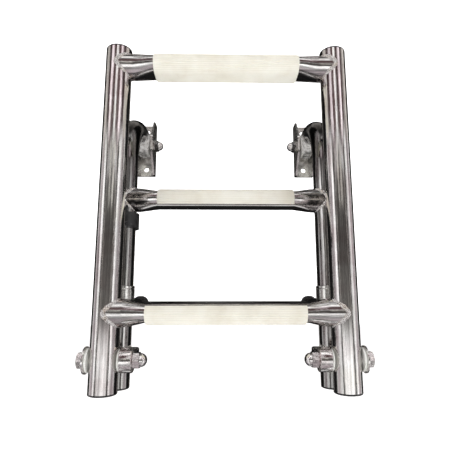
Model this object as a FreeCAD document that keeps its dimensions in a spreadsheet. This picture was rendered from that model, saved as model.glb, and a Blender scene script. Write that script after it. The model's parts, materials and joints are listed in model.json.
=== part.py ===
"""Folding boarding ladder for a boat's transom, in stainless tube, shown folded.

Frame: the origin is the middle of the four bracket screws, on the transom face. +X is to the
right of someone facing the transom, +Y points into the boat and +Z is up. Millimetres.
The upper section hangs from two brackets. The lower section hinges on the upper section's
foot and stands folded in front of it.
"""
import FreeCAD, Part
import math
import os
import Sketcher
from FreeCAD import Placement, Rotation, Vector

SIZES = {
    # rails, all cut from the same tube
    "rail_radius": 12.7,
    "rail_wall": 1.5,
    "half_width": 108.0,            # middle of the ladder to the axis of every rail
    "lower_standoff": 157.0,        # transom to a lower rail's axis
    "upper_standoff": 111.0,        # transom to an upper rail's axis
    "hinge_drop": 254.0,            # hook pivot down to the folding hinge
    "lower_stub": 28.8,             # folding hinge to the lowest point of a lower rail
    "upper_stub": 33.8,             # and of an upper rail
    "lower_rail_length": 330.0,
    # hooked arms
    "bend_radius": 54.0,
    "pivot_standoff": 20.0,         # transom to the hook pivot's axis
    "eye_width": 17.5,              # squashed end of the arm, across
    "eye_height": 31.0,
    "eye_neck": 16.0,               # length over which the tube is squashed
    # steps, all three alike
    "near_step_rise": 41.0,         # folding hinge to each step's axis, while folded
    "middle_step_rise": 157.0,
    "far_step_rise": 282.7,
    "flat_depth": 29.5,             # flattened middle of a step, front to back
    "flat_height": 17.5,
    "round_end": 3.5,               # round part of a step beside the rail
    "squash_length": 20.0,          # from round to flattened
    "tread_half_length": 71.3,
    "tread_skin": 1.6,
    "tread_open_edge": 2.2,         # how far the tread's edges stop short of the bare face
    # end plugs
    "plug_flange": 1.4,
    "plug_stem": 12.0,
    # fasteners, all M8
    "bolt_radius": 4.0,
    "bore_clearance": 0.05,
    "hex_flats": 13.0,
    "bolt_head": 6.0,
    "nut_hex": 6.5,
    "nut_dome": 6.0,
    # folding hinge
    "boss_radius": 10.9,
    "boss_length": 11.0,
    "boss_arm": 7.0,                # thickness of the arm between barrel and rail
    "boss_arm_height": 15.0,
    "boss_shoe_depth": 13.3,        # wider rear end of the arm, against the rail
    "boss_shoe_overlap": 5.7,       # how far the shoe reaches across the rail's front
    "hinge_gap": 0.3,
    "inner_washer_radius": 9.5,
    "inner_washer": 1.6,
    "outer_nylon_radius": 10.5,
    "outer_nylon": 2.2,
    "steel_washer_radius": 12.0,
    "steel_washer": 1.8,
    # brackets
    "plate": 2.5,
    "bracket_width": 25.0,
    "bracket_height": 73.0,
    "ear_reach": 33.0,              # transom to the tip of an ear
    "ear_tip_height": 19.0,
    "ear_rounding": 9.0,
    "ear_top_reach": 16.0,
    "ear_bottom_reach": 10.0,
    "screw_hole_radius": 3.25,
    "screw_spacing": 54.0,
    # stand-offs
    "standoff_rise": 47.3,          # folding hinge to the stand-off legs
    "sleeve_radius": 14.2,
    "sleeve_height": 38.0,
    "socket_radius": 8.0,
    "socket_reach": 24.0,
    "leg_radius": 6.35,
    "leg_wall": 1.2,
    "leg_gap": 1.0,                 # rail to the leg's front end, inside the socket
    "foot_radius": 9.1,
    "foot_chamfer": 3.0,
    "foot_length": 16.0,
    "cross_rod_radius": 2.5,
    "cross_rod_inset": 5.0,         # foot's front face to the cross rod's axis
    # storage clip
    "clip_rise": 134.0,
    "clip_height": 16.0,
    "clip_radius": 16.0,
    "clip_jaw_radius": 14.8,
    "clip_mouth_depth": 5.0,
    "clip_web": 14.0,
    "clip_gap": 0.3,
}

SLACK = 1.0             # how far a cutting shape reaches past what it cuts
SHORT_FLAT = 0.05       # keeps the edges of a round section matched with those of a flattened one

ALONG_X = Rotation(Vector(0, 1, 0), 90)
ALONG_Y = Rotation(Vector(1, 0, 0), -90)
UPRIGHT = Rotation()

doc = FreeCAD.newDocument("BoardingLadder")
sheet = doc.addObject("Spreadsheet::Sheet", "Sizes")
NODES = []


def fill_sheet():
    for row, (alias, value) in enumerate(SIZES.items(), start=1):
        sheet.set("A%d" % row, alias)
        sheet.set("B%d" % row, str(value))
        sheet.setAlias("B%d" % row, alias)
    doc.recompute()


def bound(formula):
    """Turn a formula of plain alias names into one that reads the sheet."""
    out, word = [], ""
    for sign in formula + " ":
        if sign.isalnum() or sign == "_":
            word += sign
            continue
        out.append("Sizes." + word if word in SIZES else word)
        out.append(sign)
        word = ""
    return "".join(out).strip()


def value(formula):
    return float(sheet.evalExpression(bound(formula)))


def bind(item, **formulas):
    for name, formula in formulas.items():
        item.setExpression(name, bound(formula))
    return item


def place(item, x, y, z, turn=UPRIGHT):
    """Place an object at x, y, z, each given as a formula."""
    item.Placement = Placement(Vector(value(x), value(y), value(z)), turn)
    for axis, formula in zip("xyz", (x, y, z)):
        item.setExpression("Placement.Base." + axis, bound(formula))
    return item


def cylinder(name, radius, length, x, y, z, turn=UPRIGHT):
    item = doc.addObject("Part::Cylinder", name)
    bind(item, Radius=radius, Height=length)
    return place(item, x, y, z, turn)


def box(name, size_x, size_y, size_z, x, y, z):
    item = doc.addObject("Part::Box", name)
    bind(item, Length=size_x, Width=size_y, Height=size_z)
    return place(item, x, y, z)


def hexagon(name, length, x, y, z, turn=ALONG_X):
    item = doc.addObject("Part::Prism", name)
    item.Polygon = 6
    bind(item, Circumradius="hex_flats / 2 / cos(30 deg)", Height=length)
    return place(item, x, y, z, turn)


def ball(name, radius, x, y, z):
    item = doc.addObject("Part::Sphere", name)
    bind(item, Radius=radius)
    return place(item, x, y, z)


def fuse(name, items):
    item = doc.addObject("Part::MultiFuse", name)
    item.Shapes = items
    item.Refine = True
    return item


def cut(name, base, tools):
    item = doc.addObject("Part::Cut", name)
    item.Base = base
    item.Tool = tools[0] if len(tools) == 1 else fuse(name + "_tools", tools)
    return item


def group(name, items):
    item = doc.addObject("Part::Compound", name)
    item.Links = items
    return item


def node(item, label):
    item.Label = label
    NODES.append(item)
    return item


def side_name(side):
    return "left" if side < 0 else "right"


def plane_of(body, role):
    for feature in body.Origin.OriginFeatures:
        if feature.Role == role:
            return feature
    raise ValueError("no plane " + role)


def new_sketch(body, role, name):
    sketch = body.newObject("Sketcher::SketchObject", name)
    sketch.AttachmentSupport = [(plane_of(body, role), "")]
    sketch.MapMode = "FlatFace"
    return sketch


def pin_point(sketch, edge, point, x, y):
    """Fix one end of an edge at a place given by two formulas."""
    for kind, formula in (("DistanceX", x), ("DistanceY", y)):
        index = sketch.addConstraint(
            Sketcher.Constraint(kind, -1, 1, edge, point, value(formula)))
        sketch.setExpression("Constraints[%d]" % index, bound(formula))


def polygon(sketch, corners):
    """Closed outline through corners, each a pair of formulas."""
    spots = [Vector(value(x), value(y), 0) for x, y in corners]
    count = len(corners)
    for index in range(count):
        sketch.addGeometry(Part.LineSegment(spots[index], spots[(index + 1) % count]), False)
    for index in range(count):
        sketch.addConstraint(
            Sketcher.Constraint("Coincident", index, 2, (index + 1) % count, 1))
    for index, (x, y) in enumerate(corners):
        pin_point(sketch, index, 1, x, y)


def circle(sketch, x, y, radius):
    edge = sketch.addGeometry(
        Part.Circle(Vector(value(x), value(y), 0), Vector(0, 0, 1), value(radius)), False)
    index = sketch.addConstraint(Sketcher.Constraint("Radius", edge, value(radius)))
    sketch.setExpression("Constraints[%d]" % index, bound(radius))
    if x == "0" and y == "0":
        sketch.addConstraint(Sketcher.Constraint("Coincident", edge, 3, -1, 1))
    else:
        pin_point(sketch, edge, 3, x, y)


def pocket_through(body, sketch, name):
    """Cut a sketch right through the body both ways, and make sure that it cuts."""
    doc.recompute()
    before = body.Shape.Volume
    pocket = body.newObject("PartDesign::Pocket", name)
    pocket.Profile = sketch
    pocket.Midplane = True
    bind(pocket, Length="4 * bracket_height")
    doc.recompute()
    if body.Shape.Volume >= before:
        raise RuntimeError(name + " cuts nothing")


# ---------------------------------------------------------------- rails

def tube(name, x, y, z, length):
    outer = cylinder(name + "_outer", "rail_radius", length, x, y, z)
    inner = cylinder(name + "_inner", "rail_radius - rail_wall", length, x, y, z)
    return cut(name + "_tube", outer, [inner])


def lower_rail(side):
    name = "lower_rail_" + side_name(side)
    x, y = "%d * half_width" % side, "-lower_standoff"
    bottom = "-hinge_drop - lower_stub + plug_flange"
    body = tube(name, x, y, bottom, "lower_rail_length - 2 * plug_flange")
    bore = cylinder(name + "_bore", "bolt_radius + bore_clearance", "4 * rail_radius",
                    x + " - 2 * rail_radius", y, "-hinge_drop", ALONG_X)
    return node(cut(name, body, [bore]), name)


def rail_path(body, name):
    """Centre line of an upper rail: straight up, round a quarter bend, straight back."""
    rise = "hinge_drop + upper_stub - plug_flange"
    run = "upper_standoff - pivot_standoff - eye_neck - eye_height / 2"
    path = new_sketch(body, "YZ_Plane", name)
    radius, top, back = value("bend_radius"), value(rise), value(run)
    path.addGeometry(Part.LineSegment(Vector(0, 0, 0), Vector(0, top - radius, 0)), False)
    path.addGeometry(Part.ArcOfCircle(
        Part.Circle(Vector(radius, top - radius, 0), Vector(0, 0, 1), radius),
        math.pi / 2, math.pi), False)
    path.addGeometry(Part.LineSegment(Vector(radius, top, 0), Vector(back, top, 0)), False)
    path.addConstraint(Sketcher.Constraint("Coincident", 0, 1, -1, 1))
    path.addConstraint(Sketcher.Constraint("Tangent", 0, 2, 1, 2))
    path.addConstraint(Sketcher.Constraint("Tangent", 1, 1, 2, 1))
    path.addConstraint(Sketcher.Constraint("Vertical", 0))
    pin_point(path, 2, 2, run, rise)
    index = path.addConstraint(Sketcher.Constraint("Radius", 1, radius))
    path.setExpression("Constraints[%d]" % index, bound("bend_radius"))
    path.addConstraint(Sketcher.Constraint("Horizontal", 2))
    return path


def bent_tube(name):
    """Hollow tube along the rail path, with its foot at the body's origin."""
    body = doc.addObject("PartDesign::Body", name)
    for kind, radius in (("AdditivePipe", "rail_radius"),
                         ("SubtractivePipe", "rail_radius - rail_wall")):
        section = new_sketch(body, "XY_Plane", name + "_section_" + kind)
        circle(section, "0", "0", radius)
        path = rail_path(body, name + "_path_" + kind)
        doc.recompute()
        pipe = body.newObject("PartDesign::" + kind, name + "_" + kind)
        pipe.Profile = section
        pipe.Spine = (path, ["Edge1", "Edge2", "Edge3"])
        pipe.Mode = "Standard"
        doc.recompute()
    return body


def oval_wire(long_size, short_size, origin, long_axis, short_axis):
    """Closed wire of two half rounds and the two flats between them."""
    half = short_size / 2
    shift = max(long_size / 2 - half, SHORT_FLAT)

    def spot(end, angle):
        return (origin + long_axis * (end * (shift + half * math.sin(angle)))
                + short_axis * (half * math.cos(angle)))

    right = Part.Arc(spot(1, 0), spot(1, math.pi / 2), spot(1, math.pi)).toShape()
    low = Part.LineSegment(spot(1, math.pi), spot(-1, math.pi)).toShape()
    left = Part.Arc(spot(-1, math.pi), spot(-1, math.pi / 2), spot(-1, 0)).toShape()
    high = Part.LineSegment(spot(-1, 0), spot(1, 0)).toShape()
    return Part.Wire([right, low, left, high])


def squashed_end(name, x):
    """End of an arm, squashed from the round tube to a tall oval with a round nose."""
    diameter = value("2 * rail_radius")
    width, height = value("eye_width"), value("eye_height")
    neck_end = value("-pivot_standoff - eye_height / 2")
    across, up = Vector(1, 0, 0), Vector(0, 0, 1)

    def section(y, tall, wide):
        return oval_wire(tall, wide, Vector(value(x), y, 0), up, across)

    neck = Part.makeLoft([section(neck_end - value("eye_neck"), diameter, diameter),
                          section(neck_end, height, width)], True, True)
    oval = Part.Face(section(neck_end, height, width)).extrude(Vector(0, height, 0))
    flat = Part.makeBox(width, height / 2, height,
                        Vector(value(x) - width / 2, neck_end, -height / 2))
    nose = Part.makeCylinder(height / 2, width,
                             Vector(value(x) - width / 2, neck_end + height / 2, 0), across)
    item = doc.addObject("Part::Feature", name)
    item.Shape = neck.fuse(oval.common(flat.fuse(nose))).removeSplitter()
    return item


def upper_rail(side):
    name = "upper_rail_" + side_name(side)
    x, y = "%d * half_width" % side, "-upper_standoff"
    body = bent_tube(name + "_bent")
    place(body, x, y, "-hinge_drop - upper_stub + plug_flange")
    eye = squashed_end(name + "_eye", x)
    bore = cylinder(name + "_pivot_bore", "bolt_radius + bore_clearance", "2 * rail_radius",
                    x + " - rail_radius", "-pivot_standoff", "0", ALONG_X)
    return node(cut(name, fuse(name + "_whole", [body, eye]), [bore]), name)


def plugs(name, standoff, end, up):
    """Pair of end plugs, one in each rail. The stem points up or down from the flange."""
    items = []
    for side in (-1, 1):
        x = "%d * half_width" % side
        part = "%s_%s" % (name, side_name(side))
        flange_z = end if up > 0 else end + " - plug_flange"
        stem_z = end + " + plug_flange" if up > 0 else end + " - plug_flange - plug_stem"
        flange = cylinder(part + "_flange", "rail_radius", "plug_flange",
                          x, "-" + standoff, flange_z)
        stem = cylinder(part + "_stem", "rail_radius - rail_wall", "plug_stem",
                        x, "-" + standoff, stem_z)
        items.append(fuse(part, [flange, stem]))
    return node(group(name, items), name)


# ---------------------------------------------------------------- steps

def step_tube(name, standoff, z):
    """Step tube: round where it meets the rails, flattened in the middle, and hollow."""
    end = value("half_width")
    shoulder = value("half_width - rail_radius - round_end")
    flat = shoulder - value("squash_length")
    across, up = Vector(0, 1, 0), Vector(0, 0, 1)

    def shell(inset):
        diameter = value("2 * rail_radius") - 2 * inset
        round_size = (diameter, diameter)
        flat_size = (value("flat_depth") - 2 * inset, value("flat_height") - 2 * inset)
        sections = [(-end, round_size), (-shoulder, round_size), (-flat, flat_size),
                    (flat, flat_size), (shoulder, round_size), (end, round_size)]
        wires = []
        for x, (deep, tall) in sections:
            origin = Vector(x, value("-" + standoff), value(z))
            wires.append(oval_wire(deep, tall, origin, across, up))
        return Part.makeLoft(wires, True, True)

    item = doc.addObject("Part::Feature", name + "_blank")
    item.Shape = shell(0).cut(shell(value("rail_wall")))
    rails = [cylinder("%s_cope_%s" % (name, side_name(side)), "rail_radius", "6 * rail_radius",
                      "%d * half_width" % side, "-" + standoff, z + " - 3 * rail_radius")
             for side in (-1, 1)]
    return node(cut(name, item, rails), name)


def oval_bar(name, half_length, depth, height, y, z):
    """Solid bar along X with a flattened round section, centred on x = 0."""
    bar = [box(name + "_flat", "2 * (%s)" % half_length, "%s - (%s)" % (depth, height), height,
               "-(%s)" % half_length, "%s - (%s - (%s)) / 2" % (y, depth, height),
               "%s - (%s) / 2" % (z, height))]
    for end in (-1, 1):
        bar.append(cylinder("%s_edge_%s" % (name, side_name(end)), "(%s) / 2" % height,
                            "2 * (%s)" % half_length, "-(%s)" % half_length,
                            "%s + %d * (%s - (%s)) / 2" % (y, end, depth, height), z, ALONG_X))
    return fuse(name, bar)


def tread(name, standoff, z, up):
    """Plastic tread that grips a step from one side and leaves the other face bare."""
    y = "-" + standoff
    outside = oval_bar(name + "_outside", "tread_half_length", "(flat_depth + 2 * tread_skin)",
                       "(flat_height + 2 * tread_skin)", y, z)
    inside = oval_bar(name + "_inside", "tread_half_length + %g" % SLACK,
                      "flat_depth", "flat_height", y, z)
    slab = "(tread_skin + tread_open_edge + %g)" % SLACK
    slab_z = ("%s - flat_height / 2 + tread_open_edge - %s" % (z, slab) if up > 0
              else "%s + flat_height / 2 - tread_open_edge" % z)
    bare = box(name + "_bare", "2 * (tread_half_length + %g)" % SLACK, "2 * flat_depth", slab,
               "-tread_half_length - %g" % SLACK, y + " - flat_depth", slab_z)
    return node(cut(name, outside, [inside, bare]), name)


# ---------------------------------------------------------------- fasteners and hinge

def washers(name, radius, thickness, start):
    """Pair of washers round the hinge bolts. start is the distance from the ladder's middle."""
    items = []
    for side in (-1, 1):
        part = "%s_%s" % (name, side_name(side))
        x = start if side > 0 else "-(%s) - (%s)" % (start, thickness)
        disc = cylinder(part + "_disc", radius, thickness,
                        x, "-lower_standoff", "-hinge_drop", ALONG_X)
        hole = cylinder(part + "_hole", "bolt_radius + bore_clearance", thickness,
                        x, "-lower_standoff", "-hinge_drop", ALONG_X)
        items.append(cut(part, disc, [hole]))
    return node(group(name, items), name)


def bolts(name, head, tip, y, z):
    """Pair of hexagon bolts, heads outboard. head and tip are distances from the middle."""
    items = []
    for side in (-1, 1):
        part = "%s_%s" % (name, side_name(side))
        shank_x = tip if side > 0 else "-(%s)" % head
        head_x = head if side > 0 else "-(%s) - bolt_head" % head
        shank = cylinder(part + "_shank", "bolt_radius", "(%s) - (%s)" % (head, tip),
                         shank_x, y, z, ALONG_X)
        top = hexagon(part + "_head", "bolt_head", head_x, y, z)
        items.append(fuse(part, [shank, top]))
    return node(group(name, items), name)


def dome_nuts(name, seat, y, z):
    """Pair of domed nuts that face inboard from their seat, with a blind bore for the bolt."""
    items = []
    for side in (-1, 1):
        part = "%s_%s" % (name, side_name(side))
        x = "%s - nut_hex" % seat if side > 0 else "-(%s)" % seat
        middle = "%d * (%s - nut_hex)" % (side, seat)
        hex_part = hexagon(part + "_hex", "nut_hex", x, y, z)
        dome = ball(part + "_dome", "nut_dome", middle, y, z)
        bore = cylinder(part + "_bore", "bolt_radius", "nut_hex", x, y, z, ALONG_X)
        items.append(cut(part, fuse(part + "_solid", [hex_part, dome]), [bore]))
    return node(group(name, items), name)


def hinge_boss(side):
    """Barrel for the hinge bolt, on an arm and a shoe welded to an upper rail's foot."""
    name = "hinge_boss_" + side_name(side)
    seat = "(half_width - rail_radius - hinge_gap - inner_washer)"
    y, z = "-lower_standoff", "-hinge_drop"
    low = z + " - boss_arm_height / 2"

    def start(length):
        return "%s - %s" % (seat, length) if side > 0 else "-" + seat

    barrel = cylinder(name + "_barrel", "boss_radius", "boss_length",
                      start("boss_length"), y, z, ALONG_X)
    arm = box(name + "_arm", "boss_arm", "lower_standoff - upper_standoff",
              "boss_arm_height", start("boss_arm"), y, low)
    shoe_x = (seat + " - boss_arm" if side > 0
              else "-%s - boss_shoe_overlap" % seat)
    shoe = box(name + "_shoe", "boss_arm + boss_shoe_overlap", "boss_shoe_depth",
               "boss_arm_height", shoe_x, "-upper_standoff - boss_shoe_depth", low)
    bore = cylinder(name + "_bore", "bolt_radius + bore_clearance", "boss_length",
                    start("boss_length"), y, z, ALONG_X)
    rail = cylinder(name + "_rail", "rail_radius", "4 * rail_radius",
                    "%d * half_width" % side, "-upper_standoff", z + " - 2 * rail_radius")
    return node(cut(name, fuse(name + "_solid", [barrel, arm, shoe]), [bore, rail]), name)


# ---------------------------------------------------------------- brackets

def bracket(side):
    """Channel bracket: a base plate with two screw holes and an ear on each side."""
    name = "bracket_" + side_name(side)
    body = doc.addObject("PartDesign::Body", name)
    outline = new_sketch(body, "YZ_Plane", name + "_outline")
    polygon(outline, [("0", "-bracket_height / 2"), ("0", "bracket_height / 2"),
                      ("-ear_top_reach", "bracket_height / 2"),
                      ("-ear_reach", "ear_tip_height / 2"),
                      ("-ear_reach", "-ear_tip_height / 2"),
                      ("-ear_bottom_reach", "-bracket_height / 2")])
    pad = body.newObject("PartDesign::Pad", name + "_block")
    pad.Profile = outline
    pad.Midplane = True
    bind(pad, Length="bracket_width")
    doc.recompute()

    front_edges = []
    for index, edge in enumerate(pad.Shape.Edges, start=1):
        spot = edge.CenterOfMass
        if abs(spot.x) < 1e-6 and spot.y < -value("ear_top_reach") - SLACK:
            front_edges.append("Edge%d" % index)
    fillet = body.newObject("PartDesign::Fillet", name + "_rounding")
    fillet.Base = (pad, front_edges)
    bind(fillet, Radius="ear_rounding")
    doc.recompute()

    inner = "(bracket_width / 2 - plate)"
    channel = new_sketch(body, "XY_Plane", name + "_channel")
    polygon(channel, [("-" + inner, "-plate"), (inner, "-plate"),
                      (inner, "-ear_reach - %g" % SLACK), ("-" + inner, "-ear_reach - %g" % SLACK)])
    pocket_through(body, channel, name + "_channel_cut")
    holes = new_sketch(body, "XZ_Plane", name + "_screw_holes")
    for end in (-1, 1):
        circle(holes, "0", "%d * screw_spacing / 2" % end, "screw_hole_radius")
    pocket_through(body, holes, name + "_screw_cut")
    pivot = new_sketch(body, "YZ_Plane", name + "_pivot_hole")
    circle(pivot, "-pivot_standoff", "0", "bolt_radius + bore_clearance")
    pocket_through(body, pivot, name + "_pivot_cut")
    place(body, "%d * half_width" % side, "0", "0")
    return node(body, name)


# ---------------------------------------------------------------- stand-offs and clip

STANDOFF_Z = "-hinge_drop + standoff_rise"


def sleeve(side):
    """Tee sleeve round an upper rail, with a socket that points back."""
    name = "standoff_sleeve_" + side_name(side)
    x, y = "%d * half_width" % side, "-upper_standoff"
    low = STANDOFF_Z + " - sleeve_height / 2"
    ring = cylinder(name + "_ring", "sleeve_radius", "sleeve_height", x, y, low)
    socket = cylinder(name + "_socket", "socket_radius", "socket_reach",
                      x, y, STANDOFF_Z, ALONG_Y)
    rail = cylinder(name + "_rail", "rail_radius", "sleeve_height", x, y, low)
    leg = cylinder(name + "_leg", "leg_radius", "socket_reach", x, y, STANDOFF_Z, ALONG_Y)
    return node(cut(name, fuse(name + "_solid", [ring, socket]), [rail, leg]), name)


def standoff_leg(side):
    name = "standoff_leg_" + side_name(side)
    x = "%d * half_width" % side
    start = "-upper_standoff + rail_radius + leg_gap"
    length = "upper_standoff - rail_radius - leg_gap - foot_length / 2"
    outer = cylinder(name + "_outer", "leg_radius", length, x, start, STANDOFF_Z, ALONG_Y)
    inner = cylinder(name + "_inner", "leg_radius - leg_wall", length,
                     x, start, STANDOFF_Z, ALONG_Y)
    rod = cylinder(name + "_rod_hole", "cross_rod_radius", "4 * leg_radius",
                   x + " - 2 * leg_radius", "-foot_length - cross_rod_inset",
                   STANDOFF_Z, ALONG_X)
    return node(cut(name, outer, [inner, rod]), name)


def standoff_foot(side):
    """Rubber foot that covers the end of a stand-off leg and rests on the transom."""
    name = "standoff_foot_" + side_name(side)
    body = doc.addObject("PartDesign::Body", name)
    profile = new_sketch(body, "XY_Plane", name + "_profile")
    polygon(profile, [("0", "0"), ("foot_radius - foot_chamfer", "0"),
                      ("foot_radius", "-foot_chamfer"),
                      ("foot_radius", "-foot_length"), ("leg_radius", "-foot_length"),
                      ("leg_radius", "-foot_length / 2"), ("0", "-foot_length / 2")])
    turn = body.newObject("PartDesign::Revolution", name + "_turned")
    turn.Profile = profile
    turn.ReferenceAxis = (profile, ["V_Axis"])
    turn.Angle = 360
    doc.recompute()
    place(body, "%d * half_width" % side, "0", STANDOFF_Z)
    return node(body, name)


def cross_rod():
    """Thin rod that joins the two stand-off legs in front of their feet."""
    half = "(half_width + leg_radius)"
    return node(cylinder("standoff_cross_rod", "cross_rod_radius", "2 * " + half,
                         "-" + half, "-foot_length - cross_rod_inset", STANDOFF_Z, ALONG_X),
                "standoff_cross_rod")


def storage_clip():
    """Plastic clip on the left upper rail, whose open jaws hold the folded lower rail."""
    low = "-hinge_drop + clip_rise - clip_height / 2"
    places = {"upper": ("-upper_standoff", "clip_radius", "rail_radius"),
              "lower": ("-lower_standoff", "clip_jaw_radius", "rail_radius + clip_gap")}
    solids, holes = [], []
    for key, (y, radius, bore) in places.items():
        solids.append(cylinder("clip_ring_" + key, radius, "clip_height", "-half_width", y, low))
        holes.append(cylinder("clip_hole_" + key, bore, "clip_height", "-half_width", y, low))
    solids.append(box("clip_web", "clip_web", "lower_standoff - upper_standoff", "clip_height",
                      "-half_width - clip_web / 2", "-lower_standoff", low))
    mouth = box("clip_mouth", "2 * clip_radius", "clip_radius + clip_mouth_depth", "clip_height",
                "-half_width - clip_radius", "-lower_standoff - clip_radius", low)
    return node(cut("storage_clip", fuse("clip_solid", solids), holes + [mouth]),
                "storage_clip")


def build():
    fill_sheet()
    for side in (-1, 1):
        bracket(side)
        upper_rail(side)
        hinge_boss(side)
        sleeve(side)
        standoff_leg(side)
        standoff_foot(side)
        lower_rail(side)
    cross_rod()
    storage_clip()

    for name, standoff, up in (("middle", "upper_standoff", 1),
                               ("near", "lower_standoff", -1),
                               ("far", "lower_standoff", -1)):
        z = "-hinge_drop + %s_step_rise" % name
        step_tube(name + "_step", standoff, z)
        tread(name + "_tread", standoff, z, up)

    lower_foot = "-hinge_drop - lower_stub"
    plugs("upper_rail_plugs", "upper_standoff", "-hinge_drop - upper_stub", 1)
    plugs("lower_rail_hinge_plugs", "lower_standoff", lower_foot, 1)
    plugs("lower_rail_far_plugs", "lower_standoff", lower_foot + " + lower_rail_length", -1)

    outside = "(half_width + rail_radius + hinge_gap)"
    inside = "(half_width - rail_radius - hinge_gap - inner_washer)"
    washers("hinge_outer_nylon_washers", "outer_nylon_radius", "outer_nylon", outside)
    washers("hinge_steel_washers", "steel_washer_radius", "steel_washer",
            outside + " + outer_nylon")
    washers("hinge_inner_nylon_washers", "inner_washer_radius", "inner_washer", inside)
    boss_end = inside + " - boss_length"
    bolts("hinge_bolts", outside + " + outer_nylon + steel_washer", boss_end + " - nut_hex",
          "-lower_standoff", "-hinge_drop")
    dome_nuts("hinge_dome_nuts", boss_end, "-lower_standoff", "-hinge_drop")
    bolts("pivot_bolts", "half_width + bracket_width / 2",
          "half_width - bracket_width / 2 - nut_hex", "-pivot_standoff", "0")
    dome_nuts("pivot_dome_nuts", "half_width - bracket_width / 2", "-pivot_standoff", "0")


def check_and_export():
    doc.recompute()
    for item in doc.Objects:
        for fault in ("Invalid", "Error"):
            if fault in item.State:
                raise RuntimeError("%s is %s" % (item.Label, fault))
    os.makedirs("parts", exist_ok=True)
    for item in NODES:
        shape = item.Shape
        if shape.isNull() or not shape.isValid():
            raise RuntimeError(item.Label + " has no valid shape")
        shape.exportStep("parts/%s.step" % item.Label)
        print("%-28s %2d solid(s) %9.1f mm3" % (item.Label, len(shape.Solids), shape.Volume))


build()
check_and_export()
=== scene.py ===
# Looks of the folding boarding ladder: polished stainless tube, ribbed cream treads, nylon and rubber.
import json
import math
import bmesh
import bpy
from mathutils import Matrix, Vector, noise


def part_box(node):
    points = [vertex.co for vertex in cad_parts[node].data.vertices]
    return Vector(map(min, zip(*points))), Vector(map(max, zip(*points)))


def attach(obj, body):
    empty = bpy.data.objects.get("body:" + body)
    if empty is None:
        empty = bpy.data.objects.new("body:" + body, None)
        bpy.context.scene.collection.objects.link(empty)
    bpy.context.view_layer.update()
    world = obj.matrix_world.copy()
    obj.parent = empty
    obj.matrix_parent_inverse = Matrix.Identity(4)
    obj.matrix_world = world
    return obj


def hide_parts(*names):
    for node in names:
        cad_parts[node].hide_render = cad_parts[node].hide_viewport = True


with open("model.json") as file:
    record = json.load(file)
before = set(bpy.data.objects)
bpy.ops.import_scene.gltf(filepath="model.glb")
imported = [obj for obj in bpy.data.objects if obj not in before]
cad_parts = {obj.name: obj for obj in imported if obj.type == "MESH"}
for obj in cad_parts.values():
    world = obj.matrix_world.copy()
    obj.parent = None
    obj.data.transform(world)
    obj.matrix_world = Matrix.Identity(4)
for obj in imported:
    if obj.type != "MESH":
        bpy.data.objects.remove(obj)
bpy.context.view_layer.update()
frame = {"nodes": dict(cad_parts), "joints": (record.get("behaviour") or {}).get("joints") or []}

MM = 0.001
TUBE = 12.7 * MM                    # radius of the rails and of the steps' round ends
WALL = 1.5 * MM                     # tube wall, seen at the open ends
RIM = 0.35 * MM                     # rounding of the tubes' cut ends
HEX_FLATS = 13 * MM                 # bolt heads and nuts, across flats
BOLT = 4 * MM                       # radius of the bolts' shanks
SIDES = {"left": -1, "right": 1}
X, Y, Z = Vector((1, 0, 0)), Vector((0, 1, 0)), Vector((0, 0, 1))


def middle(node):
    low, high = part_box(node)
    return (low + high) / 2


def inner_end(node):
    """How near to the ladder's middle a left and right pair of fasteners reaches."""
    return min(abs(vert.co.x) for vert in frame["nodes"][node].data.vertices)


def joint_spot(name):
    for joint in frame["joints"]:
        if joint["name"] == name:
            return Vector(joint["pos_m"])
    raise ValueError(name)


HINGE = joint_spot("folding_hinge")
PIVOT = joint_spot("hook_pivot")
HALF = middle("lower_rail_right").x         # middle of the ladder to a rail's axis
UPPER_Y = middle("upper_rail_plugs").y      # the upper rails' axes


# ---------------------------------------------------------------- materials

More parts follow.
